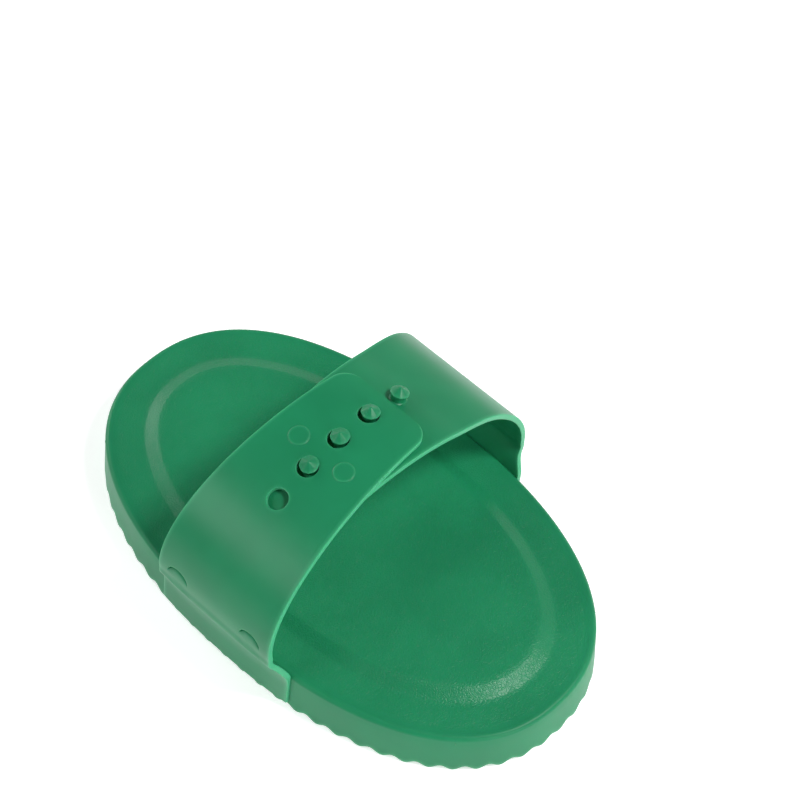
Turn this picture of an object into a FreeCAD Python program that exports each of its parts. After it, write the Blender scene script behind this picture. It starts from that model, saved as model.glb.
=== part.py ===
import FreeCAD, Part
import math
import os

# Oval plastic curry comb with a buttoned hand strap, in millimetres.
# +X runs along the comb, +Y across it, +Z up, away from the teeth.
# The origin is at the middle of the comb, in the plane of the tooth tips.

# ---- driving dimensions -------------------------------------------------

# cup: back plate and skirt
cup_length = 170.0
cup_width = 98.8
cup_height = 16.0
cup_fullness = 2.29           # exponent of the superellipse, 2 is an ellipse
skirt_flare = 1.2             # the skirt's foot stands this far outside the rim
skirt_wall = 1.8
plate_thickness = 2.0
rim_radius = 1.3

# raised hand panel on the back plate
panel_margin = 10.9           # from the rim to the foot of the panel
panel_slope = 4.5
panel_rise = 1.8
panel_fullness = 2.2

# comb: two scalloped rings and straight webs between them
rib_wall = 1.6
outer_channel = 14.2          # from the rim to the outside of the middle ring
inner_channel = 17.8          # from the middle ring to the inner ring
middle_ring_fullness = 2.2
inner_ring_fullness = 2.0
webs_per_half = 3             # cross webs on each side of the central one

# teeth: scallops cut into every free edge
tooth_pitch = 7.0
tooth_depth = 2.0
tooth_land = 0.8

# hand strap: two tongues that rise from the skirt and button together
strap_thickness = 1.8
strap_gap = 0.3               # clearance between the two tongues
strap_rise = 35.3             # from the strap's widest level to its crown
strap_belly = 12.0            # the strap's widest level above the rim
root_proud = 1.0              # the root stands this far outside the rim
foot_width = 51.2
neck_width = 44.8
knuckle_width = 40.8          # width at the bend line
tip_width = 32.6
tip_corner = 5.5
foot_bottom = 3.0             # the root's lower edge above the tooth tips
bend_line = 36.0              # distance of each bend line from the middle
bend_gap = 0.4                # between a root and its tongue
hole_tip_margin = 8.0         # from the last hole's middle to the hole tongue's tip
stud_tip_margin = 5.5         # how far the stud tongue passes the first hole
step_down_start = 43.0        # where the stud tongue starts to dip, from the middle
step_down_end = 25.0          # where it lies fully under the hole tongue

# button row
button_pitch = 12.2
hole_count = 4
stud_count = 4
hole_radius = 3.2
first_hole = 28.0             # from the middle to the hole nearest its root
stud_play = 0.75              # radial clearance of a stud's head in its hole
stud_offset = 0.15            # the studs bear towards the hole tongue's tip
stud_neck_waist = 0.35        # the neck is this much slimmer than the head
stud_cheek_taper = 0.15       # the head narrows this much before its point
stud_neck_height = 0.5
stud_throat_height = 0.9      # where the head is widest
stud_cheek_stand = 0.3        # the head's cheek above the hole tongue
stud_point_stand = 2.0        # the head's point above the hole tongue
stud_tip_radius = 0.5
stud_embed = 0.45             # how far the neck reaches into the tongue

# drawing aids
oval_points = 48
curve_points = 15
span = 400.0                  # longer than the comb in every direction

# ---- values that follow -------------------------------------------------

half_length = cup_length / 2
half_width = cup_width / 2
plate_underside = cup_height - plate_thickness
middle_half_length = half_length - outer_channel
middle_half_width = half_width - outer_channel
inner_half_length = middle_half_length - inner_channel
inner_half_width = middle_half_width - inner_channel
web_pitch = (middle_half_length + rib_wall / 2) / webs_per_half
strap_level = cup_height + strap_belly
strap_reach = (half_width + root_proud) / math.sqrt(1 - (strap_belly / strap_rise) ** 2)
overlap_inset = strap_thickness + strap_gap
stud_tongue_reach = first_hole + stud_tip_margin
stud_head_radius = hole_radius - stud_play
stud_cheek_radius = stud_head_radius - stud_cheek_taper
stud_cheek_height = overlap_inset + stud_cheek_stand
stud_height = overlap_inset + stud_point_stand


def vector(x, y, z):
    return FreeCAD.Vector(x, y, z)


X_AXIS = vector(1, 0, 0)
Z_AXIS = vector(0, 0, 1)


# ---- ovals and walls ----------------------------------------------------

def signed_power(value, power):
    return math.copysign(abs(value) ** power, value)


def oval_wire(half_x, half_y, fullness, z):
    """Closed superellipse, one smooth periodic curve."""
    points = []
    for i in range(oval_points):
        turn = 2 * math.pi * (i + 0.5) / oval_points
        x = half_x * signed_power(math.cos(turn), 2 / fullness)
        y = half_y * signed_power(math.sin(turn), 2 / fullness)
        points.append(vector(x, y, z))
    curve = Part.BSplineCurve()
    curve.interpolate(Points=points, PeriodicFlag=True)
    return Part.Wire([curve.toShape()])


def oval_frustum(low, high, fullness):
    """Solid between two ovals, each given as (half_x, half_y, z)."""
    wires = [oval_wire(half_x, half_y, fullness, z) for half_x, half_y, z in (low, high)]
    return Part.makeLoft(wires, True, True)


def skirt_frustum(offset, low, high):
    """The cup's drafted outline, moved out by offset, between two levels."""
    ends = []
    for z in (low, high):
        flare = skirt_flare * (cup_height - z) / cup_height
        ends.append((half_length + flare + offset, half_width + flare + offset, z))
    return oval_frustum(ends[0], ends[1], cup_fullness)


def box(low, high):
    size = high - low
    return Part.makeBox(size.x, size.y, size.z, low)


# ---- teeth --------------------------------------------------------------

def scallop(place, across):
    """Round cutter that leaves one valley in an edge at z = 0."""
    half_valley = (tooth_pitch - tooth_land) / 2
    radius = (half_valley ** 2 + tooth_depth ** 2) / (2 * tooth_depth)
    length = 4 * skirt_wall
    centre = place - across * (length / 2) + Z_AXIS * (tooth_depth - radius)
    return Part.makeCylinder(radius, length, centre, across)


def oval_scallops(half_x, half_y, fullness):
    wire = oval_wire(half_x, half_y, fullness, 0)
    count = 2 * round(wire.Length / tooth_pitch / 2)
    places = wire.discretize(Number=2 * count + 1)
    cutters = []
    for i in range(count):
        before = places[2 * i]
        valley = places[2 * i + 1]
        after = places[2 * i + 2]
        along = (after - before).normalize()
        across = along.cross(Z_AXIS)
        cutters.append(scallop(valley, across))
    return cutters


def row_scallops(along, across, place):
    """Scallops along a straight web, with a tooth at the web's middle."""
    cutters = []
    count = int(half_length / tooth_pitch) + 1
    for i in range(-count, count):
        cutters.append(scallop(place + along * ((i + 0.5) * tooth_pitch), across))
    return cutters


# ---- cup and comb -------------------------------------------------------

def back_plate():
    plate = skirt_frustum(0, plate_underside, cup_height)
    rim = [e for e in plate.Edges if min(v.Z for v in e.Vertexes) > cup_height - 0.01]
    return plate.makeFillet(rim_radius, rim)


def hand_panel():
    foot_x = half_length - panel_margin
    foot_y = half_width - panel_margin
    foot = (foot_x, foot_y, cup_height)
    top = (foot_x - panel_slope, foot_y - panel_slope, cup_height + panel_rise)
    return oval_frustum(foot, top, panel_fullness)


def skirt():
    wall = skirt_frustum(0, 0, plate_underside).cut(skirt_frustum(-skirt_wall, 0, plate_underside))
    middle = skirt_flare - skirt_wall / 2
    return wall.cut(oval_scallops(half_length + middle, half_width + middle, cup_fullness))


def ring_prism(half_x, half_y, fullness):
    return oval_frustum((half_x, half_y, 0), (half_x, half_y, plate_underside), fullness)


def ring(half_x, half_y, fullness):
    wall = ring_prism(half_x, half_y, fullness)
    wall = wall.cut(ring_prism(half_x - rib_wall, half_y - rib_wall, fullness))
    middle = rib_wall / 2
    return wall.cut(oval_scallops(half_x - middle, half_y - middle, fullness))


def cross_web(x):
    low = vector(x - rib_wall / 2, -span / 2, 0)
    high = vector(x + rib_wall / 2, span / 2, plate_underside)
    return box(low, high).cut(row_scallops(vector(0, 1, 0), X_AXIS, vector(x, 0, 0)))


def end_web(side):
    inner = webs_per_half * web_pitch + rib_wall / 2
    ends = sorted((side * inner, side * span))
    low = vector(ends[0], -rib_wall / 2, 0)
    high = vector(ends[1], rib_wall / 2, plate_underside)
    return box(low, high).cut(row_scallops(X_AXIS, vector(0, 1, 0), vector(0, 0, 0)))


def web_name(k):
    if k == 0:
        return "web_centre"
    return ("web_left_" if k < 0 else "web_right_") + str(abs(k))


def comb_parts():
    """Rings and webs, each web cut to the channel that it stands in."""
    middle_size = (middle_half_length, middle_half_width, middle_ring_fullness)
    inner_size = (inner_half_length, inner_half_width, inner_ring_fullness)
    inside_skirt = skirt_frustum(-skirt_wall, 0, plate_underside)
    outer_zone = inside_skirt.cut(ring_prism(*middle_size))
    middle_core = ring_prism(
        middle_half_length - rib_wall, middle_half_width - rib_wall, middle_ring_fullness
    )
    inner_zone = middle_core.cut(ring_prism(*inner_size))
    core_zone = ring_prism(
        inner_half_length - rib_wall, inner_half_width - rib_wall, inner_ring_fullness
    )
    parts = {"middle_comb_ring": ring(*middle_size), "inner_comb_ring": ring(*inner_size)}
    for k in range(-webs_per_half, webs_per_half + 1):
        web = cross_web(k * web_pitch)
        name = web_name(k)
        if abs(k) == webs_per_half:
            parts[name] = web.common(inside_skirt)
            continue
        zones = {"outer": outer_zone}
        if abs(k) == 1:
            zones["inner"] = inner_zone
            parts[name + "_core"] = web.common(core_zone)
        for zone_name, zone in zones.items():
            for solid in web.common(zone).Solids:
                side = "front" if solid.CenterOfMass.y < 0 else "rear"
                parts[name + "_" + zone_name + "_" + side] = solid
    for side, word in ((-1, "left"), (1, "right")):
        parts["end_web_" + word] = end_web(side).common(inside_skirt)
    return parts


# ---- hand strap ---------------------------------------------------------
# The strap lies along one ellipse. side is -1 for the hole tongue, which rises at the
# front (-Y), and +1 for the stud tongue. reach is the distance from the strap's own
# root side: positive towards the root, negative past the middle.

def strap_frame(side, reach, below_level=False):
    """Point and outward normal on the strap's outer surface."""
    share = min(1.0, max(-1.0, reach / strap_reach))
    rise = math.sqrt(1 - share ** 2) * (-1 if below_level else 1)
    point = vector(0, side * reach, strap_level + strap_rise * rise)
    normal = vector(0, side * share * strap_rise, strap_reach * rise).normalize()
    return point, normal


def step_down(reach):
    """How deep the stud tongue lies below the ellipse."""
    share = (step_down_start - reach) / (step_down_start - step_down_end)
    share = min(1.0, max(0.0, share))
    return overlap_inset * share * share * (3 - 2 * share)


def strap_point(side, turn, inset):
    """Point on the strap; turn is measured from the widest level, over the crown."""
    reach = strap_reach * math.cos(turn)
    point, normal = strap_frame(side, reach, turn < 0)
    if side > 0:
        inset = inset + (step_down(reach) if turn > 0 else 0)
    return point - normal * inset


def turn_at(reach):
    return math.acos(reach / strap_reach)


def strap_band(side, start, end):
    """Full-width band of the strap between two turns."""
    turns = [start + (end - start) * i / (curve_points - 1) for i in range(curve_points)]
    edges = []
    for inset in (0, strap_thickness):
        curve = Part.BSplineCurve()
        curve.interpolate([strap_point(side, turn, inset) for turn in turns])
        edges.append(curve)
    outer, inner = edges
    outline = [
        outer.toShape(),
        Part.makeLine(outer.EndPoint, inner.EndPoint),
        inner.toShape(),
        Part.makeLine(inner.StartPoint, outer.StartPoint),
    ]
    face = Part.Face(Part.Wire(Part.__sortEdges__(outline)))
    face.translate(vector(-span / 2, 0, 0))
    return face.extrude(vector(span, 0, 0))


def bend_turn():
    return turn_at(bend_line)


def strap_root(side, cup):
    """Fixed part of the strap: a pad on the skirt that runs up into the band."""
    start = -math.asin((strap_belly + plate_thickness) / strap_rise)
    half_gap = bend_gap / 2 / strap_reach
    band = strap_band(side, start, bend_turn() - half_gap)
    pad = skirt_frustum(root_proud, foot_bottom, cup_height)
    pad = pad.cut(skirt_frustum(-skirt_wall, foot_bottom, cup_height))
    half_space = sorted((0, side * span))
    half = box(vector(-span / 2, half_space[0], 0), vector(span / 2, half_space[1], span))
    body = band.fuse(pad.common(half))
    knuckle_z = strap_frame(side, bend_line)[0].z + strap_thickness
    neck_z = strap_level - strap_belly / 2
    flare = Part.BSplineCurve()
    flare_points = [
        vector(foot_width / 2, 0, cup_height),
        vector((foot_width + neck_width) / 4, 0, (cup_height + neck_z) / 2),
        vector(neck_width / 2, 0, neck_z),
    ]
    flare.interpolate(Points=flare_points, InitialTangent=Z_AXIS, FinalTangent=Z_AXIS)
    right = [
        Part.makeLine(vector(foot_width / 2, 0, 0), flare_points[0]),
        flare.toShape(),
        Part.makeLine(flare_points[2], vector(knuckle_width / 2, 0, knuckle_z)),
    ]
    left = [edge.mirror(vector(0, 0, 0), X_AXIS) for edge in right]
    closers = [
        Part.makeLine(
            vector(-knuckle_width / 2, 0, knuckle_z), vector(knuckle_width / 2, 0, knuckle_z)
        ),
        Part.makeLine(vector(-foot_width / 2, 0, 0), vector(foot_width / 2, 0, 0)),
    ]
    outline = Part.Face(Part.Wire(Part.__sortEdges__(right + left + closers)))
    outline.translate(vector(0, -span / 2, 0))
    body = body.common(outline.extrude(vector(0, span, 0)))
    return body.cut(cup).Solids[0]


def tongue_blank(side, tip_reach):
    """Tapered, round-cornered outline of a tongue, seen from above."""
    start = bend_line + 2 * strap_thickness
    taper = (knuckle_width - tip_width) / 2 / (bend_line + tip_reach)
    start_half = knuckle_width / 2 + taper * 2 * strap_thickness
    corners = [
        vector(start_half, side * start, 0),
        vector(tip_width / 2, -side * tip_reach, 0),
        vector(-tip_width / 2, -side * tip_reach, 0),
        vector(-start_half, side * start, 0),
    ]
    blank = Part.Face(Part.makePolygon(corners + corners[:1])).extrude(vector(0, 0, span))
    tips = []
    for edge in blank.Edges:
        first, last = [v.Point for v in edge.Vertexes]
        if abs(first.z - last.z) > span / 2 and abs(first.y + side * tip_reach) < 0.01:
            tips.append(edge)
    return blank.makeFillet(tip_corner, tips)


def tongue(side, tip_reach):
    half_gap = bend_gap / 2 / strap_reach
    beyond = turn_at(-tip_reach - tip_corner)
    band = strap_band(side, bend_turn() + half_gap, beyond)
    return band.common(tongue_blank(side, tip_reach)).Solids[0]


def button_places():
    """Turns along the hole tongue, one pitch of surface apart, starting at its root."""
    turn = turn_at(first_hole)
    places = [turn]
    small = 0.0005
    for _ in range(stud_count):
        travelled = 0.0
        while travelled < button_pitch:
            here = strap_point(-1, turn, 0)
            turn += small
            travelled += (strap_point(-1, turn, 0) - here).Length
        places.append(turn)
    return places


def hole_tongue():
    holes = button_places()[:hole_count]
    blank = tongue(-1, hole_tip_margin - strap_reach * math.cos(holes[-1]))
    cutters = []
    for turn in holes:
        point, normal = strap_frame(-1, strap_reach * math.cos(turn))
        start = point - normal * (2 * strap_thickness)
        cutters.append(Part.makeCylinder(hole_radius, 4 * strap_thickness, start, normal))
    return blank.cut(cutters)


def stud(turn):
    """Mushroom stud on the stud tongue, moved towards the hole tongue's tip."""
    place, normal = strap_frame(-1, strap_reach * math.cos(turn))
    along = normal.cross(X_AXIS)
    if along.y < 0:
        along = along * -1
    seat = place - normal * overlap_inset + along * stud_offset
    neck_radius = stud_head_radius - stud_neck_waist
    profile = [
        vector(0, 0, -stud_embed),
        vector(neck_radius, 0, -stud_embed),
        vector(neck_radius, 0, stud_neck_height),
        vector(stud_head_radius, 0, stud_throat_height),
        vector(stud_cheek_radius, 0, stud_cheek_height),
        vector(stud_tip_radius, 0, stud_height),
        vector(0, 0, stud_height),
    ]
    face = Part.Face(Part.makePolygon(profile + profile[:1]))
    solid = face.revolve(vector(0, 0, 0), Z_AXIS, 360)
    solid.Placement = FreeCAD.Placement(seat, FreeCAD.Rotation(Z_AXIS, normal))
    return solid


# ---- assembly -----------------------------------------------------------

def build():
    parts = {"back_plate": back_plate(), "hand_panel": hand_panel(), "skirt": skirt()}
    parts.update(comb_parts())
    cup = skirt_frustum(0, 0, cup_height)
    parts["hole_strap_root"] = strap_root(-1, cup)
    parts["stud_strap_root"] = strap_root(1, cup)
    parts["hole_strap_tongue"] = hole_tongue()
    stud_tongue = tongue(1, stud_tongue_reach)
    for i, turn in enumerate(button_places()[1:]):
        button = stud(turn).cut(stud_tongue)
        parts["stud_" + str(i + 1)] = max(button.Solids, key=lambda s: s.Volume)
    parts["stud_strap_tongue"] = stud_tongue
    return parts


os.makedirs("parts", exist_ok=True)
for node, shape in build().items():
    if len(shape.Solids) == 1:
        shape = shape.Solids[0]
    shape.exportStep("parts/" + node + ".step")
    extent = shape.BoundBox
    print(
        f"{node:28s} solids {len(shape.Solids)} valid {shape.isValid()} volume {shape.Volume:9.1f}"
        f"  y {extent.YMin:7.2f} {extent.YMax:7.2f}  z {extent.ZMin:6.2f} {extent.ZMax:6.2f}"
    )
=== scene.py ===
# %% [markdown]
# # A curry comb with a buttoned hand strap
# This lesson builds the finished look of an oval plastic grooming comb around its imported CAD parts.
# The whole comb is one soft, springy moulding, so every piece here is thin, rounded at its edges and
# the same green. The frame gives each part's size and place, and nothing in this file moves it.

# %% Open the frame
import math
import bpy
import numpy as np
from mathutils import Matrix, Vector


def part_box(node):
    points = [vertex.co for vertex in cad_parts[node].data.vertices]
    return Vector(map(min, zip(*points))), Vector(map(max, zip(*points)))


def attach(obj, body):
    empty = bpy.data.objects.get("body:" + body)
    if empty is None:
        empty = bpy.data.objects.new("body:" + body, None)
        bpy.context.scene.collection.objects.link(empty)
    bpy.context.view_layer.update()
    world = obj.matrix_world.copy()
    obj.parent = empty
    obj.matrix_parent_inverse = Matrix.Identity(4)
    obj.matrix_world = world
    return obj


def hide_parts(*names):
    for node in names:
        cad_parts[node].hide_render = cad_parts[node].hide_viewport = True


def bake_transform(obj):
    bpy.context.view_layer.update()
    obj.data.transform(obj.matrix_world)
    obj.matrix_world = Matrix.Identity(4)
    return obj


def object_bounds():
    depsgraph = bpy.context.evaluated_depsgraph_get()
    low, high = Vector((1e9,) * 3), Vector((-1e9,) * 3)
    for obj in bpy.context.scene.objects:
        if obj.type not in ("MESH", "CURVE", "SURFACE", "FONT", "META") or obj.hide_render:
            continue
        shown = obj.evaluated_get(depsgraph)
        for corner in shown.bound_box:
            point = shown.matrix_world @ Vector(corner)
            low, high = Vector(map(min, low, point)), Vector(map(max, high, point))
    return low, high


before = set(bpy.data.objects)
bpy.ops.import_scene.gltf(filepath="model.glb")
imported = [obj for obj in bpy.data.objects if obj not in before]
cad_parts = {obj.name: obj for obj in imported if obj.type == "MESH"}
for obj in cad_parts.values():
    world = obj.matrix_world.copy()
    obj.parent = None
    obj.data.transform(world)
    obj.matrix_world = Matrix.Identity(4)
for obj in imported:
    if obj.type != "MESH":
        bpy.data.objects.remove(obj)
cad_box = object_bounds()
scene = bpy.context.scene
mm = 0.001
print("CAD box in mm:", [round(v / mm, 1) for corner in cad_box for v in corner])

# %% [markdown]
# ## Camera
# A product of this size is usually shot from above with a long lens, which keeps the oval's two ends
# almost equally large. A camera can be placed by hand or turned towards an aim point. Here it stands
# on a sphere round an aim point, because azimuth and elevation are easy to read and to change.

# %% Set up the camera
aim_point = Vector((-16.7, 40.6, 21.5)) * mm
camera_distance = 710 * mm
camera_azimuth = math.radians(40.5)
camera_elevation = math.radians(54.03)
camera_roll = math.radians(3.91)


def camera_axes(azimuth, elevation, roll):
    """Right, up and back of a camera that looks down at the comb."""
    back = Vector((
        math.sin(azimuth) * math.cos(elevation),
        -math.cos(azimuth) * math.cos(elevation),
        math.sin(elevation),
    ))
    level = Vector((math.cos(azimuth), math.sin(azimuth), 0))
    upright = back.cross(level)
    right = level * math.cos(roll) + upright * math.sin(roll)
    return right, back.cross(right), back


right, up, back = camera_axes(camera_azimuth, camera_elevation, camera_roll)
camera_data = bpy.data.cameras.new("product_camera")
camera_data.lens = 105.07
camera_data.sensor_width = 36
camera_data.clip_start = 10 * mm
camera = bpy.data.objects.new("product_camera", camera_data)
scene.collection.objects.link(camera)
camera.matrix_world = Matrix.Translation(aim_point + back * camera_distance) @ Matrix(
    (right, up, back)
).transposed().to_4x4()
scene.camera = camera
print("camera stands at", [round(v, 3) for v in camera.location])

# %% [markdown]
# ## Short names for nodes
# The studio and the plastic are both node trees. A tree can be clicked together or written out; these
# helpers add one node each and hand back its output, so a material reads like a small formula.

# %% Helpers for node trees
def node_material(name):
    """A new material with its node tree and its shader."""
    material = bpy.data.materials.new(name)
    material.use_nodes = True
    tree = material.node_tree
    return material, tree, tree.nodes["Principled BSDF"]


def link(tree, output, target):
    tree.links.new(output, target)


def noise(tree, coordinates, scale, detail=3.0, roughness=0.5):
    node = tree.nodes.new("ShaderNodeTexNoise")
    node.inputs["Scale"].default_value = scale
    node.inputs["Detail"].default_value = detail
    node.inputs["Roughness"].default_value = roughness
    link(tree, coordinates, node.inputs["Vector"])
    return node.outputs["Fac"]


def ranged(tree, value, low, high, from_low=0.0, from_high=1.0):
    node = tree.nodes.new("ShaderNodeMapRange")
    node.inputs["From Min"].default_value = from_low
    node.inputs["From Max"].default_value = from_high
    node.inputs["To Min"].default_value = low
    node.inputs["To Max"].default_value = high
    link(tree, value, node.inputs["Value"])
    return node.outputs["Result"]


def maths(tree, operation, first, second):
    node = tree.nodes.new("ShaderNodeMath")
    node.operation = operation
    for socket, value in zip(node.inputs, (first, second)):
        if isinstance(value, (int, float)):
            socket.default_value = value
        else:
            link(tree, value, socket)
    return node.outputs["Value"]


def mixed_colour(tree, factor, first, second):
    node = tree.nodes.new("ShaderNodeMix")
    node.data_type = "RGBA"
    for socket, value in zip((node.inputs[0], node.inputs[6], node.inputs[7]), (factor, first, second)):
        if isinstance(value, tuple):
            socket.default_value = value
        else:
            link(tree, value, socket)
    return node.outputs[2]


def stored(tree, name):
    node = tree.nodes.new("ShaderNodeAttribute")
    node.attribute_name = name
    return node.outputs["Fac"]


def bump(tree, height, distance, below=None):
    node = tree.nodes.new("ShaderNodeBump")
    node.inputs["Distance"].default_value = distance
    link(tree, height, node.inputs["Height"])
    if below is not None:
        link(tree, below, node.inputs["Normal"])
    return node.outputs["Normal"]


print("node helpers ready")

# %% [markdown]
# ## Lights
# Satin plastic shows its form through wide, soft highlights, and small lamps would leave hard spots.
# So the studio uses area lights. Two brighten the skirt and its rim, one at the left draws a soft band
# along the strap, and one high up at the right makes the grain sparkle on the slope of the hand panel.

# %% Light the studio
# name, place in metres, width in metres, power in watts
softboxes = [
    ("right_softbox", (0.98, -0.24, 0.38), 0.26, 3.6),
    ("side_softbox", (-0.95, -0.02, 0.46), 0.34, 3.2),
    ("left_softbox", (-0.46, -0.68, 0.64), 0.42, 3.3),
    ("overhead_softbox", (0.50, 0.24, 0.98), 0.22, 9.0),
]
comb_middle = (cad_box[0] + cad_box[1]) / 2


def area_light(name, place, width, watts):
    data = bpy.data.lights.new(name, "AREA")
    data.shape = "SQUARE"
    data.size = width
    data.energy = watts
    lamp = bpy.data.objects.new(name, data)
    lamp.location = place
    lamp.rotation_euler = (comb_middle - Vector(place)).to_track_quat("-Z", "Y").to_euler()
    scene.collection.objects.link(lamp)


for softbox in softboxes:
    area_light(*softbox)
print("lights:", [name for name, *_ in softboxes])

# %% [markdown]
# ## Room
# A shiny surface shows the room round it. This room is pale behind the table, darker in front and dark
# above. A level plate then mirrors the dark ceiling and keeps its deep colour, while its far slopes
# mirror the pale wall. A picture of a room would do the same, but two ramps are easier to tune.

# %% Shade the room
wall_top = (0.30, 0.65)
front_wall = 0.20
back_wall = 0.95
wall_turn = (-0.4, 0.5)
ceiling_glow = 0.05

world = bpy.data.worlds.new("studio")
world.use_nodes = True
room = world.node_tree
towards = room.nodes.new("ShaderNodeSeparateXYZ")
link(room, room.nodes.new("ShaderNodeTexCoord").outputs["Generated"], towards.inputs["Vector"])
below_ceiling = ranged(room, towards.outputs["Z"], 1.0, 0.0, *wall_top)
wall_glow = ranged(room, towards.outputs["Y"], front_wall, back_wall, *wall_turn)
glow = maths(room, "ADD", maths(room, "MULTIPLY", below_ceiling, wall_glow), ceiling_glow)
link(room, glow, room.nodes["Background"].inputs["Strength"])
room.nodes["Background"].inputs["Color"].default_value = (1.0, 1.0, 1.0, 1)
scene.world = world
scene.view_settings.view_transform = "Standard"
print("room glows from", ceiling_glow, "to", back_wall + ceiling_glow)

# %% [markdown]
# ## Light table
# Catalogue makers put small goods on a table of frosted acrylic with lamps under it. It keeps the
# background white, almost removes the shadow and lights the skirt from below.

# %% Lay the light table
def frosted_acrylic():
    material, tree, shader = node_material("light_table")
    frost = noise(tree, tree.nodes.new("ShaderNodeTexCoord").outputs["Object"], 400)
    link(tree, ranged(tree, frost, 0.80, 0.84), shader.inputs["Base Color"])
    shader.inputs["Emission Color"].default_value = (1.0, 1.0, 1.0, 1)
    shader.inputs["Emission Strength"].default_value = 0.55
    shader.inputs["Roughness"].default_value = 0.9
    shader.inputs["Specular IOR Level"].default_value = 0.1
    return material


half_floor = 3.0
table_drop = 0.05 * mm
table_z = cad_box[0].z - table_drop
corners = [(x * half_floor, y * half_floor, table_z) for x, y in ((-1, -1), (1, -1), (1, 1), (-1, 1))]
floor_mesh = bpy.data.meshes.new("floor")
floor_mesh.from_pydata(corners, [], [(0, 1, 2, 3)])
floor_mesh.materials.append(frosted_acrylic())
floor = bpy.data.objects.new("floor", floor_mesh)
scene.collection.objects.link(floor)
print("table is", 2 * half_floor, "m wide")

# %% [markdown]
# ## Green soft plastic
# The comb is moulded in soft polyethylene: a satin surface, a little light scattered inside it, and edges
# that look paler where light passes through the thin wall or catches the rounding. That paleness is
# painted light: a painted glow and painted edge highlight mixed into the base colour. It comes from a
# value stored on the mesh, because only the maker of a mesh knows where its thin edges are.

# %% Choose the greens
moulded_green = (0.010, 0.215, 0.090, 1)
shaded_green = (0.0088, 0.1892, 0.0792, 1)
# painted glow and painted edge highlight: a paler green, mixed in where light would pass through narrow
# plastic or catch a rounded edge
painted_glow_green = (0.085, 0.48, 0.25, 1)
painted_glow_strength = 0.6
ripple_depth = 0.25 * mm
speck_depth = 0.006 * mm
print("green:", moulded_green[:3], "where it is thin:", painted_glow_green[:3])

# %% [markdown]
# ## Leather grain
# The plate is moulded with a fine leather pattern, which breaks up its highlights. A scanned texture
# would repeat. Voronoi cells, measured from their edges and bent by a noise, don't.

# %% Shape the leather grain
def leather_grain(tree, place):
    """Height of a fine moulded leather: wandering creases with pores between them."""
    wander = tree.nodes.new("ShaderNodeTexNoise")
    wander.inputs["Scale"].default_value = 420
    link(tree, place, wander.inputs["Vector"])
    warp = tree.nodes.new("ShaderNodeVectorMath")
    warp.operation = "MULTIPLY_ADD"
    link(tree, wander.outputs["Color"], warp.inputs[0])
    warp.inputs[1].default_value = (1.4 * mm,) * 3
    link(tree, place, warp.inputs[2])
    pebbles = tree.nodes.new("ShaderNodeTexVoronoi")
    pebbles.feature = "DISTANCE_TO_EDGE"
    pebbles.inputs["Scale"].default_value = 1150
    link(tree, warp.outputs["Vector"], pebbles.inputs["Vector"])
    creases = ranged(tree, pebbles.outputs["Distance"], 0, 1, 0.0, 0.22)
    pores = noise(tree, place, 2100, roughness=0.65)
    return maths(tree, "ADD", maths(tree, "MULTIPLY", creases, 0.55), maths(tree, "MULTIPLY", pores, 0.9))


# %% [markdown]
# ## One recipe for every finish
# Separate materials could be painted for each part, but they would drift apart in colour. Here the
# finishes share their green, clouds and specks, and differ only in gloss and in grain.

# %% Mix the finishes
def green_plastic(name, gloss_low, gloss_high, shine, grain=0.0):
    """Satin soft plastic; grain is the depth of a moulded leather pattern."""
    material, tree, shader = node_material(name)
    place = tree.nodes.new("ShaderNodeTexCoord").outputs["Object"]
    cloud = noise(tree, place, 45, detail=2.0)
    speck = noise(tree, place, 2600, detail=2.0)
    colour = mixed_colour(tree, ranged(tree, cloud, 0, 1, 0.35, 0.65), shaded_green, moulded_green)
    # painted glow and painted edge highlight: the stored value mixes the paler green into the base colour
    thin_glow = maths(tree, "MULTIPLY", stored(tree, "thin_glow"), painted_glow_strength)
    link(tree, mixed_colour(tree, thin_glow, colour, painted_glow_green), shader.inputs["Base Color"])
    cloudy_gloss = ranged(tree, cloud, gloss_low, gloss_high)
    gloss = maths(tree, "ADD", cloudy_gloss, ranged(tree, speck, -0.03, 0.03))
    link(tree, gloss, shader.inputs["Roughness"])
    ripples = bump(tree, noise(tree, place, 70, detail=1.0), ripple_depth)
    normal = bump(tree, speck, speck_depth, ripples)
    if grain:
        leather = maths(tree, "MULTIPLY", leather_grain(tree, place), stored(tree, "grain"))
        normal = bump(tree, leather, grain, normal)
    link(tree, normal, shader.inputs["Normal"])
    shader.inputs["IOR"].default_value = 1.5
    shader.inputs["Specular IOR Level"].default_value = shine
    shader.inputs["Subsurface Weight"].default_value = 0.22
    shader.inputs["Subsurface Radius"].default_value = (0.25, 1.0, 0.35)
    shader.inputs["Subsurface Scale"].default_value = 2.0 * mm
    return material


finishes = {
    "cup_shell": green_plastic("smooth_skirt_plastic", 0.40, 0.48, 0.22),
    "panel_grain": green_plastic("grained_plate_plastic", 0.31, 0.38, 0.30, grain=0.07 * mm),
    "comb_ribs": green_plastic("smooth_rib_plastic", 0.40, 0.50, 0.22),
    "strap": green_plastic("smooth_strap_plastic", 0.34, 0.42, 0.26),
    "studs": green_plastic("smooth_stud_plastic", 0.34, 0.42, 0.22),
}
print("finishes:", sorted(finishes))

# %% [markdown]
# ## Turning numbers into a piece
# Every piece below ends the same way: its points and faces become a mesh, it takes its finish, and it
# takes the place of the CAD nodes that it stands for, which are hidden. All but the strap halves also
# ride on a CAD body. Smooth shading is cut only where the surface turns sharply, so the rounded edges
# stay soft.

# %% Helper that finishes a piece
sharp_turn = math.radians(42)


def store_on_points(mesh, name, values):
    """One number for each point of a mesh, which a material can read by its name."""
    layer = mesh.attributes.new(name, "FLOAT", "POINT")
    layer.data.foreach_set("value", np.asarray(values, np.float32))


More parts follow.
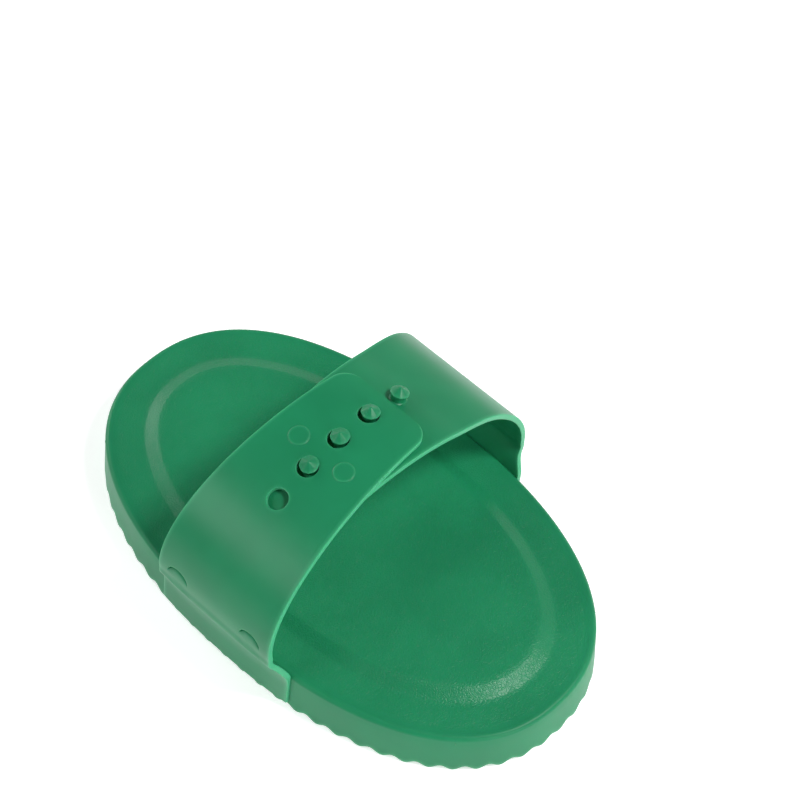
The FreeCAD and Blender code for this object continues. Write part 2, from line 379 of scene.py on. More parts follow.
def make_piece(name, points, faces, slot, nodes, thin_glow=None, body="cup"):
    mesh = bpy.data.meshes.new(name)
    mesh.from_pydata([tuple(p) for p in points], [], faces)
    if thin_glow is not None:
        store_on_points(mesh, "thin_glow", thin_glow)
    return finish_piece(name, mesh, slot, nodes, body)


def finish_piece(name, mesh, slot, nodes, body):
    mesh.validate()
    mesh.materials.clear()
    mesh.materials.append(finishes[slot])
    mesh.shade_smooth()
    mesh.set_sharp_from_angle(angle=sharp_turn)
    piece = bpy.data.objects.new(name, mesh)
    scene.collection.objects.link(piece)
    if body is not None:
        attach(piece, body)
    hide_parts(*nodes)
    print(f"{name}: {len(mesh.vertices)} points, {len(mesh.polygons)} faces")
    return piece


# %% [markdown]
# ## The comb's ovals
# The cup and its two comb rings are superellipses: a little fuller at the corners than an ellipse.
# A Bezier circle with pulled handles would look similar, but the formula gives the same outline at
# any size, and it tells how far each point is along the edge, which the teeth need.

# %% Measure the cup and its ovals
plate_low, plate_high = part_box("back_plate")
skirt_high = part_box("skirt")[1]
panel_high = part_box("hand_panel")[1]
rim_z = plate_high.z
underside_z = plate_low.z
cup_fullness = 2.29
panel_fullness = 2.2


def cup_half(z):
    """Half length and half width of the drafted cup at a height."""
    share = z / underside_z
    return np.array([
        skirt_high.x + (plate_high.x - skirt_high.x) * share,
        skirt_high.y + (plate_high.y - skirt_high.y) * share,
    ])


def oval(half_x, half_y, fullness, turns):
    """Points of a superellipse and its outward normals."""
    c, s = np.cos(turns), np.sin(turns)
    x = half_x * np.sign(c) * np.abs(c) ** (2 / fullness)
    y = half_y * np.sign(s) * np.abs(s) ** (2 / fullness)
    nx = np.sign(x) * np.abs(x / half_x) ** (fullness - 1) / half_x
    ny = np.sign(y) * np.abs(y / half_y) ** (fullness - 1) / half_y
    length = np.hypot(nx, ny)
    return np.stack([x, y], 1), np.stack([nx, ny], 1) / length[:, None]


def even_turns(half_x, half_y, fullness, count):
    """Turns that step evenly along the oval, and the oval's whole length."""
    fine = np.linspace(0, 2 * np.pi, 7200, endpoint=False) + np.pi / 7200
    points, _ = oval(half_x, half_y, fullness, fine)
    steps = np.linalg.norm(np.roll(points, -1, 0) - points, axis=1)
    travelled = np.concatenate([[0], np.cumsum(steps)])
    wanted = (np.arange(count) + 0.5) / count * travelled[-1]
    return np.interp(wanted, travelled, np.append(fine, fine[0] + 2 * np.pi)), travelled[-1]


print("cup at the rim, mm:", np.round(2 * cup_half(rim_z) / mm, 1))

# %% [markdown]
# ## Teeth
# Every free edge of the comb is cut in a soft wave, so that it grips hair without scratching. A
# Boolean cut for each tooth would leave hard edges and slow the file down. Instead the wall is swept
# with its lower edge already waving: the height of the edge is a formula of the distance along it.

# %% Sweep a wall with a waving edge
tooth_pitch = 7.0 * mm
tooth_depth = 1.6 * mm
steps_per_tooth = 10
edge_round = 0.45 * mm
edge_fade = 1.6 * mm
rib_sink = 0.3 * mm


def tooth_edge(distance, pitch):
    """Height of the waving edge at a distance along it."""
    wave = 0.5 - 0.5 * np.cos(2 * np.pi * distance / pitch)
    return tooth_depth * wave


def wall_section(edge_z, top_z, tip_half, root_half):
    """Half of a wall's section as (distance from its middle, height), down to its rounded edge."""
    rows = []
    low = edge_z + edge_round
    for share in (1.0, 0.72, 0.45, 0.2, 0.07, 0.0):
        rows.append((tip_half + (root_half - tip_half) * share, low + (top_z - low) * share))
    for quarter in (0.3, 0.6, 0.85):
        angle = quarter * math.pi / 2
        inward = edge_round * (1 - math.cos(angle))
        rows.append((tip_half - inward, low - edge_round * math.sin(angle)))
    return rows


def sweep(columns, closed):
    """Skin over equal sections; a closed sweep joins its last section to its first."""
    count, rows = len(columns), len(columns[0])
    points = np.concatenate(columns)
    faces = []
    for i in range(count if closed else count - 1):
        for j in range(rows):
            a, b = i * rows + j, i * rows + (j + 1) % rows
            nxt = (i + 1) % count * rows
            faces.append((a, b, nxt + (j + 1) % rows, nxt + j))
    if not closed:
        faces.append(tuple(range(rows)))
        faces.append(tuple((count - 1) * rows + j for j in reversed(range(rows))))
    return points, faces


def rib(middle, across, distance, pitch, tip_half, root_half, closed):
    """A rib along a line of points, as points, faces and each point's painted glow."""
    columns, thin_glow = [], []
    for place, side, edge_z in zip(middle, across, tooth_edge(distance, pitch)):
        half = wall_section(edge_z, underside_z + rib_sink, tip_half, root_half)
        section = half + [(-offset, z) for offset, z in reversed(half)]
        columns.append(np.array([(*(place + side * offset), z) for offset, z in section]))
        # painted glow: the edge of the teeth is painted paler, fading out upwards
        thin_glow.extend(min(1.0, max(0.0, 1 - (z - edge_z) / edge_fade)) for _, z in section)
    points, faces = sweep(columns, closed)
    return points, faces, thin_glow


print("teeth, mm:", round(tooth_depth / mm, 1), "deep,", round(tooth_pitch / mm, 1), "apart")

# %% [markdown]
# ## Comb rings
# Inside the skirt stand two more oval walls. They are drafted, thinner at the tooth tips than at the
# root, because a mould can only let go of a tapered rib.

# %% Make the two comb rings
rib_tip_half = 0.5 * mm
rib_root_half = 0.8 * mm


def comb_ring(node, fullness):
    low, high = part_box(node)
    half_x, half_y = high.x - rib_root_half, high.y - rib_root_half
    _, length = even_turns(half_x, half_y, fullness, 4)
    teeth = 2 * round(length / tooth_pitch / 2)
    turns, length = even_turns(half_x, half_y, fullness, teeth * steps_per_tooth)
    middle, across = oval(half_x, half_y, fullness, turns)
    distance = np.arange(len(turns)) / len(turns) * length
    points, faces, thin_glow = rib(middle, across, distance, length / teeth, rib_tip_half, rib_root_half, True)
    make_piece(node + "_skin", points, faces, "comb_ribs", [node], thin_glow)
    print(f"  {teeth} teeth round {length / mm:.0f} mm")


comb_ring("middle_comb_ring", fullness=2.2)
comb_ring("inner_comb_ring", fullness=2.0)

# %% [markdown]
# ## Webs
# Straight webs tie the rings to the skirt and to each other, and they carry the same teeth. Each one
# runs from wall to wall, so the CAD box of a web gives its two ends. A loop makes them all.

# %% Make the webs
def straight_web(node):
    low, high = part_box(node)
    along = 0 if high.x - low.x > high.y - low.y else 1
    start, end = low[along], high[along]
    count = max(4, round((end - start) / tooth_pitch * steps_per_tooth)) + 1
    travel = np.linspace(start, end, count)
    level = (low[1 - along] + high[1 - along]) / 2
    middle = np.zeros((count, 2))
    middle[:, along] = travel
    middle[:, 1 - along] = level
    across = np.zeros((count, 2))
    across[:, 1 - along] = 1
    points, faces, thin_glow = rib(middle, across, travel, tooth_pitch, rib_tip_half, rib_root_half, False)
    make_piece(node + "_skin", points, faces, "comb_ribs", [node], thin_glow)


for node in sorted(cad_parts):
    if "web" in node:
        straight_web(node)

# %% [markdown]
# ## Skirt
# The skirt is the outer wall of the cup. It leans outwards a little towards its teeth, turns over the
# rim in a small radius and ends just inside it, where the grained plate begins. One closed section is
# swept round the oval, so the rim's highlight runs without a break.

# %% Make the skirt
skirt_wall = 1.8 * mm
rim_radius = 1.3 * mm
rim_steps = 7
seam_inset = 2.1 * mm
tip_thinning = 0.2 * mm
skirt_sink = 0.6 * mm
skirt_fade = 4 * mm


def skirt_section(point, normal, edge_z, draft):
    """One closed section of the skirt at a place on its foot."""
    rows, thin_glow = [], []

    def add(inward, z, glow_share=0.0):
        lean = draft * z
        rows.append((*(point - normal * (inward + lean)), z))
        thin_glow.append(glow_share)

    add(seam_inset, rim_z)
    for i in range(rim_steps + 1):
        angle = math.pi / 2 * (1 - i / rim_steps)
        z = rim_z - rim_radius * (1 - math.sin(angle))
        add(rim_radius * (1 - math.cos(angle)), z)
    low = edge_z + edge_round
    # painted glow: the lower skirt is painted paler towards its teeth, and their rounded edge paler still
    for share in (0.75, 0.5, 0.25, 0.1, 0.0):
        z = low + (rim_z - rim_radius - low) * share
        add(0, z, max(0.0, 0.45 - (z - edge_z) / skirt_fade))
    tip_half = skirt_wall / 2 - tip_thinning
    for quarter in (0.35, 0.7, 1.0, 1.3, 1.65, 2.0):
        angle = quarter * math.pi / 2
        inward = tip_half * (1 - math.cos(angle))
        add(inward, low - edge_round * math.sin(angle), 0.8)
    for share in (0.15, 0.4, 0.7, 1.0):
        inward = tip_half * 2 + 2 * tip_thinning * share
        add(inward, low + (underside_z + skirt_sink - low) * share)
    return np.array(rows), thin_glow


def make_skirt():
    half_x, half_y = cup_half(0)
    _, length = even_turns(half_x, half_y, cup_fullness, 4)
    teeth = 2 * round(length / tooth_pitch / 2)
    turns, length = even_turns(half_x, half_y, cup_fullness, teeth * steps_per_tooth)
    foot, normals = oval(half_x, half_y, cup_fullness, turns)
    distance = np.arange(len(turns)) / len(turns) * length
    draft = (cup_half(0)[0] - cup_half(rim_z)[0]) / rim_z
    columns, thin_glow = [], []
    for point, normal, edge_z in zip(foot, normals, tooth_edge(distance, length / teeth)):
        section, glow_share = skirt_section(point, normal, edge_z, draft)
        columns.append(section)
        thin_glow.extend(glow_share)
    points, faces = sweep(columns, True)
    make_piece("skirt_skin", points, faces, "cup_shell", ["skirt"], thin_glow)
    print(f"  {teeth} teeth round {length / mm:.0f} mm")
    return draft


skirt_draft = make_skirt()

# %% [markdown]
# ## Back plate and hand panel
# The palm rests on a shallow raised oval with a sloping band round it. Plate and panel are one
# surface, so they are one polar grid: rings that grow from the panel's middle to the skirt, follow
# the slope down, and come back underneath. The fine leather grain is a bump, because its pores are
# far smaller than the mesh; the panel's rise and slope are real geometry.

# %% Make the plate
panel_slope = 4.5 * mm
slope_steps = 10
plate_columns = 480
underside_inset = 1.0 * mm


def slope_height(share):
    """Height of the band from crest to foot, with soft turns at both."""
    return 0.8 * (1 - share) + 0.2 * (1 - share * share * (3 - 2 * share))


def make_plate():
    count = plate_columns
    foot_half_x, foot_half_y = cup_half(0)
    turns, _ = even_turns(foot_half_x, foot_half_y, cup_fullness, count)
    outline, normals = oval(foot_half_x, foot_half_y, cup_fullness, turns)
    edge = outline - normals * (seam_inset + skirt_draft * rim_z)
    bearing = np.arctan2(edge[:, 1] / foot_half_y, edge[:, 0] / foot_half_x)
    foot_x, foot_y = panel_high.x, panel_high.y
    rise = panel_high.z - rim_z

    def panel_oval(inset):
        power = 2 / panel_fullness
        c, s = np.cos(bearing), np.sin(bearing)
        x = (foot_x - inset) * np.sign(c) * np.abs(c) ** power
        y = (foot_y - inset) * np.sign(s) * np.abs(s) ** power
        return np.stack([x, y], 1)

    rings, heights, grain = [], [], []

    def add(flat, z, grained):
        rings.append(np.column_stack([flat, np.full(count, z)]))
        heights.append(z)
        grain.extend([grained] * count)

    for share in (0.08, 0.2, 0.35, 0.5, 0.65, 0.8, 0.9, 0.97):
        add(panel_oval(panel_slope) * share, rim_z + rise, 1.0)
    for i in range(slope_steps + 1):
        share = i / slope_steps
        add(panel_oval(panel_slope * (1 - share)), rim_z + rise * slope_height(share), 0.9)
    foot = panel_oval(0)
    for share in (0.15, 0.35, 0.6, 0.8, 0.92, 1.0):
        add(foot + (edge - foot) * share, rim_z, 1.0 - max(0.0, share - 0.8) * 4)
    tucked = outline - normals * (underside_inset + skirt_draft * underside_z)
    for share in (1.0, 0.8, 0.55, 0.3, 0.1):
        add(tucked * share, underside_z, 0.25)
    points = np.concatenate(rings)
    top, bottom = len(points), len(points) + 1
    points = np.vstack([points, (0, 0, rim_z + rise), (0, 0, underside_z)])
    grain = grain + [1.0, 0.25]
    faces = []
    for i in range(count):
        nxt = (i + 1) % count
        faces.append((top, i, nxt))
        for ring in range(len(rings) - 1):
            a, b = ring * count, (ring + 1) * count
            faces.append((a + i, b + i, b + nxt, a + nxt))
        last = (len(rings) - 1) * count
        faces.append((bottom, last + nxt, last + i))
    piece = make_piece("back_plate_skin", points, faces, "panel_grain", ["back_plate", "hand_panel"])
    store_on_points(piece.data, "grain", grain)


make_plate()

# %% [markdown]
# ## The strap's path
# Both halves of the strap follow one arch, an ellipse seen from the comb's end. Each half starts as a
# pad on the skirt, bends outwards over the rim, swells into a soft fold and joins the ellipse. The stud
# half dips under the hole half before they meet. The path is worked out once as a fine line, and then
# read by distance along it, so holes and studs a fixed pitch apart stay that pitch apart on the curve.

# %% Draw the strap's path
strap_thickness = 1.8 * mm
strap_gap = 0.3 * mm
strap_belly = 12.0 * mm
root_proud = 1.0 * mm
foot_z = 3.0 * mm
pad_top_z = 11.5 * mm
arch_start_z = 20.5 * mm
arch_end_turn = math.radians(140)
dip_start = 43.0 * mm
dip_end = 25.0 * mm
strap_level = rim_z + strap_belly
strap_reach = -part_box("hole_strap_root")[0].y
strap_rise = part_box("hole_strap_tongue")[1].z - strap_level
overlap_inset = strap_thickness + strap_gap
print("arch, mm:", [round(v / mm, 1) for v in (strap_reach, strap_level + strap_rise)])


def dip(reach):
    """How deep the stud half lies under the arch."""
    share = np.clip((dip_start - reach) / (dip_start - dip_end), 0, 1)
    return overlap_inset * share * share * (3 - 2 * share)


def hermite(a, b, slope_a, slope_b, count):
    t = np.linspace(0, 1, count)[:, None]
    stretch = np.linalg.norm(b - a)
    return (
        (2 * t ** 3 - 3 * t ** 2 + 1) * a + (t ** 3 - 2 * t ** 2 + t) * slope_a * stretch
        + (3 * t ** 2 - 2 * t ** 3) * b + (t ** 3 - t ** 2) * slope_b * stretch
    )


# %% [markdown]
# ## Reading the path
# A Curve modifier could bend a flat strap along this line, but the holes and studs need to know where
# a given distance ends up. This class keeps the fine line and answers that: it turns a distance
# along, a distance from the middle and a depth into a point. Low down it follows the oval of the
# cup, and at the fold it swells.

# %% Read the path by distance
bend_line = 36.0 * mm
taper_drop = 0.5 * mm
neck_height = 6.5 * mm
hug_height = 14 * mm
fold_height = 8.0 * mm
fold_stand = 0.7 * mm
fold_foot = 3.2 * mm
fold_brow = 1.4 * mm


class StrapPath:
    """Outer surface of a strap half, read by distance from its foot."""

    def __init__(self, side, tip_reach):
        self.side = side
        first_turn = math.asin((arch_start_z - strap_level) / strap_rise)
        turns = np.linspace(first_turn, arch_end_turn, 900)
        reach = strap_reach * np.cos(turns)
        height = strap_level + strap_rise * np.sin(turns)
        out = np.stack([strap_rise * np.cos(turns), strap_reach * np.sin(turns)], 1)
        out /= np.linalg.norm(out, axis=1)[:, None]
        arch = np.stack([reach, height], 1)
        if side > 0:
            arch -= out * np.where(turns > 0, dip(reach), 0)[:, None]
        pad = np.array([(cup_half(z)[1] + root_proud, z) for z in np.linspace(foot_z, pad_top_z, 20)])
        pad_slope = (pad[-1] - pad[-2]) / np.linalg.norm(pad[-1] - pad[-2])
        arch_slope = (arch[1] - arch[0]) / np.linalg.norm(arch[1] - arch[0])
        bend = hermite(pad[-1], arch[0], pad_slope, arch_slope, 60)
        self.line = np.vstack([pad, bend[1:-1], arch])
        steps = np.linalg.norm(np.diff(self.line, axis=0), axis=1)
        self.travel = np.concatenate([[0], np.cumsum(steps)])
        slope = np.gradient(self.line, self.travel, axis=0)
        slope /= np.linalg.norm(slope, axis=1)[:, None]
        self.out = np.stack([slope[:, 1], -slope[:, 0]], 1)
        self.rim = self.at_height(rim_z - taper_drop)
        self.neck = self.at_height(rim_z + neck_height)
        self.fold = self.at_height(rim_z + fold_height)
        self.bend = self.at_reach(bend_line)
        self.tip = self.at_reach(-tip_reach)

    def at_height(self, z):
        first = np.argmax(self.line[:, 1] > z)
        return self.travel[first]

    def at_reach(self, reach):
        passed = (self.line[:, 0] < reach) & (self.line[:, 1] > strap_level)
        return self.travel[np.argmax(passed)]

    def place(self, travel, x, depth):
        """Points at a distance along, a distance from the middle and a depth in the plastic."""
        reach, z, out_y, out_z = (
            np.interp(travel, self.travel, column)
            for column in (self.line[:, 0], self.line[:, 1], self.out[:, 0], self.out[:, 1])
        )
        half_x, half_y = cup_half(rim_z)
        fallback = half_y - half_y * (1 - np.abs(x / half_x) ** cup_fullness) ** (1 / cup_fullness)
        hold = np.clip((rim_z + hug_height - z) / hug_height, 0, 1)
        reach = reach - fallback * hold * hold * (3 - 2 * hold)
        past = travel - self.fold
        reach = reach + fold_stand * np.exp(-((past / np.where(past < 0, fold_foot, fold_brow)) ** 2))
        return np.stack([x, self.side * (reach - out_y * depth), z - out_z * depth], -1)


hole_path = StrapPath(-1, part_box("hole_strap_tongue")[1].y)
stud_path = StrapPath(1, -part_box("stud_strap_tongue")[0].y)
print("hole half is", round(hole_path.tip / mm, 1), "mm long, stud half", round(stud_path.tip / mm, 1))

# %% [markdown]
# ## Button places
# Four holes and four studs share one pitch, but the row of studs starts one place later, so the hole
# nearest the root stays free and the last stud stands beyond the hole half's tip. That spare place is
# how the strap is let out for a bigger hand.

# %% Place the buttons
button_pitch = 12.2 * mm
hole_radius = 3.2 * mm
first_hole_reach = 28.0 * mm
first_hole = hole_path.at_reach(first_hole_reach)
hole_travels = [first_hole + k * button_pitch for k in range(4)]
stud_travels = [first_hole + k * button_pitch for k in range(1, 5)]
stud_reaches = [float(hole_path.place(travel, 0, 0)[1]) for travel in stud_travels]
print("studs cross the comb at", [round(reach / mm, 1) for reach in stud_reaches])

# %% [markdown]
# ## Strap halves
# A strap half is a sheet of plastic with thickness. It could be a plane with a Solidify modifier and
# Boolean holes, but Booleans leave long thin triangles that dent the highlights. Here the sheet is a
# lattice of quads. Where a hole or a mould mark belongs, a block of eight by eight cells is taken out
# and filled with rings that turn from square to round. Both skins and the edge walls share those
# points, and a Subdivision Surface rounds them off.

# %% Outline of a strap half
foot_half = 25.6 * mm
neck_half = 22.4 * mm
knuckle_half = 20.4 * mm
tip_half_width = 16.3 * mm
tip_corner = 5.5 * mm
neck_hollow = 1.4


def ease(share):
    share = min(1.0, max(0.0, share))
    return share * share * (3 - 2 * share)


def strap_half_width(path, travel):
    if travel <= path.neck:
        return foot_half + (neck_half - foot_half) * ease((travel - path.rim) / (path.neck - path.rim))
    if travel <= path.bend:
        share = (travel - path.neck) / (path.bend - path.neck)
        return neck_half + (knuckle_half - neck_half) * share ** neck_hollow
    share = (travel - path.bend) / (path.tip - path.bend)
    width = knuckle_half + (tip_half_width - knuckle_half) * share
    corner = travel - (path.tip - tip_corner)
    if corner > 0:
        width -= tip_corner - math.sqrt(max(0.0, tip_corner ** 2 - corner ** 2))
    return width


print("half widths at foot, neck, bend and tip, mm:", [
    round(strap_half_width(hole_path, t) / mm, 1)
    for t in (0.0, hole_path.neck, hole_path.bend, hole_path.tip - tip_corner)
])

# %% [markdown]
# ## Lattice
# The rows of the lattice are a tenth of a button pitch apart, so every hole is centred on a row. The
# columns are shares of the width, so they follow the taper, and one extra column lies close to each
# edge to hold the rounding there. Only the corners of the tip need rows of their own.

# %% Rows and columns
cells_across = 16
row_step = button_pitch / 10
edge_hold = 0.976
column_shares = [k / cells_across for k in range(cells_across)] + [edge_hold, 1.0]
# the two outer columns are painted paler, a painted edge highlight along the strap's rounded edges
column_glow = [0.0] * cells_across + [0.3, 0.8]
middle_column = len(column_shares) - 1


def strap_rows(path):
    """Distances of the lattice rows, and the index of the row at the first hole."""
    stops = [0, 0.3 * mm] + list(np.linspace(1.5 * mm, path.rim - 0.6 * mm, 6))
    corner_start = path.tip - tip_corner
    below = math.floor((first_hole - path.rim) / row_step)
    above = math.floor((corner_start - first_hole) / row_step - 0.3)
    first_index = len(stops) + below
    stops += [first_hole + k * row_step for k in range(-below, above + 1)]
    for turn in np.linspace(0, math.pi / 2, 10):
        stops.append(corner_start + tip_corner * math.sin(turn))
    return stops, first_index


def strap_lattice(path):
    stops, first_index = strap_rows(path)
    points = []
    for stop in stops:
        half = strap_half_width(path, stop)
        row = [(stop, half * share, 0.0, thin_glow) for share, thin_glow in zip(column_shares, column_glow)]
        points += [(t, -x, d, thin_glow) for t, x, d, thin_glow in reversed(row[1:])] + row
    return points, stops, first_index


print("rows in the two halves:", [len(strap_rows(half)[0]) for half in (hole_path, stud_path)])

# %% [markdown]
# ## Holes and mould marks
# A button hole is open. The pins that push the strap out of its mould leave a faint raised disc with a
# fine bead round it. Beside the root, two slanted pins leave half-moons: a narrow groove along their
# upper edge that fades out downwards. All three are the same thing to the mesh: a list of rings, each
# with its radius, its depth in the plastic and its painted glow, a paler green painted as an edge
# highlight on the hole's rim and the pin's bead.

# %% Rings for holes, pin discs and half-moons
block_reach = 4
pin_radius = 3.1 * mm
pin_stand = 0.15 * mm
bead_stand = 0.26 * mm
moon_radius = 4.2 * mm
moon_depth = 1.2 * mm


# each ring is radius, depth and painted glow; the hole's rim gets a painted edge highlight
def hole_rings():
    return [(hole_radius + 0.3 * mm, 0.0, 0.1), (hole_radius, 0.0, 0.5)]


def pin_rings():
    return [
        (pin_radius + 0.3 * mm, 0.0, 0.0),
        (pin_radius + 0.12 * mm, 0.0, 0.0),
        (pin_radius - 0.05 * mm, -bead_stand, 0.2),
        (pin_radius - 0.3 * mm, -bead_stand, 0.2),
        (pin_radius - 0.55 * mm, -pin_stand, 0.0),
        (pin_radius * 0.5, -pin_stand, 0.0),
    ]


def moon_rings():
    return [
        (moon_radius + 0.25 * mm, 0.0, 0.0),
        (moon_radius + 0.05 * mm, 0.0, 0.0),
        (moon_radius + 0.02 * mm, moon_depth, 0.0),
        (moon_radius - 0.3 * mm, moon_depth, 0.0),
        (moon_radius - 0.4 * mm, 0.12 * mm, 0.0),
        (moon_radius * 0.4, 0.0, 0.0),
    ]


print("rings in hole, disc, half-moon:", [len(f()) for f in (hole_rings, pin_rings, moon_rings)])

# %% [markdown]
# ## From square to round
# Grid Fill can close a hole by hand, but a formula does it the same way each time. The block's border
# is the first ring. Each next ring has as many points and lies nearer to a circle, so quads join them.

# %% Turn a square block into a round mark
def fill_block(points, block, mark):
    """Quads from a square block of the lattice to a round mark; pins and moons are closed."""
    travel, x, rings, closed, slanted = mark
    faces = []
    square = [points[k] for k in block]
    ring = block

    def add_ring(radius, depth, thin_glow, share):
        fresh = []
        for k, corner in enumerate(square):
            angle = math.radians(225) + 2 * math.pi * k / len(square)
            along, aside = radius * math.sin(angle), radius * math.cos(angle)
            sunk = depth * ease((along / moon_radius - 0.2) * 2) if slanted else depth
            points.append((
                corner[0] + (travel + along - corner[0]) * share,
                corner[1] + (x + aside - corner[1]) * share, sunk, thin_glow,
            ))
            fresh.append(len(points) - 1)
        for k in range(len(ring)):
            nxt = (k + 1) % len(ring)
            faces.append((ring[k], ring[nxt], fresh[nxt], fresh[k]))
        return fresh

    ring = add_ring(rings[0][0], 0.0, 0.0, 0.55)
    for radius, depth, thin_glow in rings:
        ring = add_ring(radius, depth, thin_glow, 1.0)
    if closed:
        sunk = 0.0 if slanted else rings[-1][1]
        points.append((travel, x, sunk, 0.0))
        centre = len(points) - 1
        for k in range(0, len(ring), 2):
            faces.append((ring[k], ring[k + 1], ring[(k + 2) % len(ring)], centre))
    return faces


# %% [markdown]
# ## Filling the lattice
# The sheet is laid out flat first, because a flat layout is easy to count: rows along the strap and
# columns across it. Each mark takes its block of cells away and puts its rings there. Points that no
# face uses any more are dropped.

# %% Fill the lattice
def strap_sheet(path, marks):
    """Flat layout of a strap half as (travel, x, depth, painted glow) points and quads."""
    points, stops, first_index = strap_lattice(path)
    width = 2 * middle_column + 1
    taken = set()
    faces = []
    for mark in marks:
        travel, x = mark[0], mark[1]
        row = first_index + round((travel - first_hole) / row_step) - block_reach
        cell = strap_half_width(path, travel) / cells_across
        column = middle_column + round(x / cell) - block_reach
        side = 2 * block_reach
        loop = [(row, column + k) for k in range(side)]
        loop += [(row + k, column + side) for k in range(side)]
        loop += [(row + side, column + side - k) for k in range(side)]
        loop += [(row + side - k, column) for k in range(side)]
        taken |= {(row + i, column + j) for i in range(side) for j in range(side)}
        faces += fill_block(points, [i * width + j for i, j in loop], mark)
    for i in range(len(stops) - 1):
        for j in range(width - 1):
            if (i, j) not in taken:
                a, b = i * width + j, (i + 1) * width + j
                faces.append((a, a + 1, b + 1, b))
    used = sorted({k for face in faces for k in face})
    renumber = {old: new for new, old in enumerate(used)}
    return [points[k] for k in used], [tuple(renumber[k] for k in face) for face in faces]


print("points in a hole half without marks:", len(strap_sheet(hole_path, [])[0]))

# %% [markdown]
# ## From sheet to plastic
# The flat layout becomes two skins joined by walls. The marks stand only on the outer skin. The wall
# points near each skin keep the subdivision from rounding the edge too far.

# %% Give the sheet its thickness
wall_hold = 0.3 * mm
wall_levels = [0.0, wall_hold, strap_thickness - wall_hold, strap_thickness]
print("wall levels, mm:", [round(level / mm, 2) for level in wall_levels])


def thicken(flat, faces):
    """Outer skin, inner skin and edge walls, as (travel, x, depth, painted glow) points and quads."""
    count = len(flat)
    points = list(flat) + [(t, x, strap_thickness, thin_glow) for t, x, _, thin_glow in flat]
    solid = list(faces) + [tuple(k + count for k in reversed(face)) for face in faces]
    edges = {(a, b) for face in faces for a, b in zip(face, face[1:] + face[:1])}
    between = {}

    def on_wall(k, level):
        if level in (0, len(wall_levels) - 1):
            return k if level == 0 else k + count
        if (k, level) not in between:
            between[(k, level)] = len(points)
            # edge wall points are painted fully pale, a painted edge highlight
            points.append((flat[k][0], flat[k][1], wall_levels[level], 1.0))
        return between[(k, level)]

    for a, b in sorted(edges):
        if (b, a) not in edges:
            for level in range(len(wall_levels) - 1):
                outer = (on_wall(b, level), on_wall(a, level))
                inner = (on_wall(a, level + 1), on_wall(b, level + 1))
                solid.append(outer + inner)
    return np.array(points), solid


def subdivided(name, points, faces, thin_glow):
    """A mesh rounded by one level of subdivision."""
    rough = bpy.data.meshes.new(name + "_cage")
    rough.from_pydata([tuple(p) for p in points], [], faces)
    store_on_points(rough, "thin_glow", thin_glow)
    cage = bpy.data.objects.new(name + "_cage", rough)
    scene.collection.objects.link(cage)
    rounding = cage.modifiers.new("rounding", "SUBSURF")
    rounding.levels = 1
    bpy.context.view_layer.update()
    fine = bpy.data.meshes.new_from_object(cage.evaluated_get(bpy.context.evaluated_depsgraph_get()))
    bpy.data.objects.remove(cage)
    return fine


# %% [markdown]
# ## Two halves of one strap
# Each half is one strip from its pad on the skirt to its tip. The pad stays with the cup and the tongue
# moves, but the piece rides on no body and is not blended between them. Two rigid pieces would be
# simpler, but they would open a gap when the strap is peeled up.

# %% Make the strap halves
blend_reach = 13 * mm
moon_height = 12.3 * mm
moon_x = 14.5 * mm
pin_pitches = 1.45
pin_x = 8.75 * mm


def strap_half(name, path, marks, nodes):
    layout, solid = thicken(*strap_sheet(path, marks))
    points = path.place(layout[:, 0], layout[:, 1], layout[:, 2])
    piece = finish_piece(name, subdivided(name, points, solid, layout[:, 3]), "strap", nodes, None)
    start = path.place(np.array(path.bend - blend_reach), np.array(0.0), 0.0)
    end = path.place(np.array(path.bend + blend_reach), np.array(0.0), 0.0)
    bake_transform(piece)


moon_travel = hole_path.at_height(rim_z + moon_height)
pin_travel = first_hole + pin_pitches * button_pitch
moons = [(moon_travel, side * moon_x, moon_rings(), True, True) for side in (-1, 1)]
pins = [(pin_travel, side * pin_x, pin_rings(), True, False) for side in (-1, 1)]
holes = [(travel, 0.0, hole_rings(), False, False) for travel in hole_travels]
strap_half(
    "hole_strap_skin", hole_path, holes + pins + moons,
    ["hole_strap_root", "hole_strap_tongue"],
)
strap_half("stud_strap_skin", stud_path, moons, ["stud_strap_root", "stud_strap_tongue"])

# %% [markdown]
# ## Studs
# Each stud is a short post with a wider head that snaps through its hole. The head is a low pyramid
# with eight flats and a sharp point, which finds the hole by feel. A turned cone would be simpler,
# but its shading would be one smooth sweep, so the outline is spun with a flatness that grows from
# the round post to the faceted head. The hand pulls the two halves apart, so the studs bear on the
# side of their holes towards the tip.

# %% Make the studs
stud_bearing = 0.75 * mm
stud_flats = 8
stud_segments = 5 * stud_flats
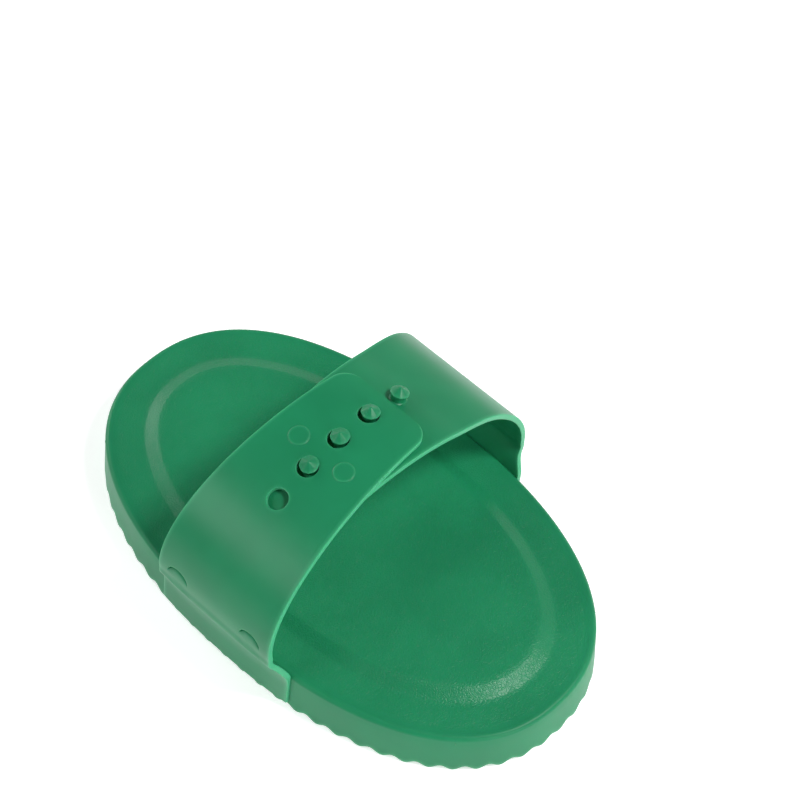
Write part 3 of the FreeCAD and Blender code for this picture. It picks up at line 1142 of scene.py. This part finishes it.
# radius and height in mm, and how flat-sided the ring is
stud_outline = [
    (3.1, -0.25, 0.0), (2.6, 0.03, 0.0), (2.36, 0.22, 0.0), (2.3, 0.6, 0.0), (2.3, 2.0, 0.0),
    (2.4, 2.24, 0.1), (2.7, 2.36, 0.2), (2.85, 2.48, 0.3), (2.88, 2.62, 0.45), (2.78, 2.76, 0.6),
    (2.1, 3.2, 0.7), (1.4, 3.66, 0.7), (0.75, 4.08, 0.7), (0.3, 4.34, 0.7), (0.12, 4.42, 0.4),
]


def flat_sided(turn, flatness):
    """Share of the radius at a turn; one at the corners of the flats."""
    half_flat = math.pi / stud_flats
    from_middle = turn % (2 * half_flat) - half_flat
    return 1 - flatness + flatness * math.cos(half_flat) / math.cos(from_middle)


def make_stud(number, travel):
    seat = hole_path.place(np.array(travel), np.array(0.0), overlap_inset)
    crown = hole_path.place(np.array(travel), np.array(0.0), 0.0)
    normal = (crown - seat) / np.linalg.norm(crown - seat)
    towards_tip = np.cross(normal, (-1, 0, 0))
    towards_tip *= math.copysign(1, towards_tip[1])
    seat = seat + towards_tip * stud_bearing
    points, thin_glow = [], []
    for radius, height, flatness in stud_outline:
        for i in range(stud_segments):
            turn = 2 * math.pi * i / stud_segments
            spoke = np.array((math.cos(turn), 0, 0)) + towards_tip * math.sin(turn)
            points.append(seat + (spoke * radius * flat_sided(turn, flatness) + normal * height) * mm)
            # painted glow: only the overhanging rim of the head is painted paler
            thin_glow.append(0.3 * ease((height - 2.3) / 0.3) * ease((radius - 2.2) / 0.6))
    rows = len(stud_outline)
    faces = []
    for j in range(rows - 1):
        for i in range(stud_segments):
            nxt = (i + 1) % stud_segments
            a, b = j * stud_segments, (j + 1) * stud_segments
            faces.append((a + i, b + i, b + nxt, a + nxt))
    faces.append(tuple((rows - 1) * stud_segments + i for i in reversed(range(stud_segments))))
    faces.append(tuple(range(stud_segments)))
    node = f"stud_{number}"
    make_piece(node + "_skin", points, faces, "studs", [node], thin_glow, body="stud_tongue")


for number, travel in enumerate(stud_travels, start=1):
    make_stud(number, travel)
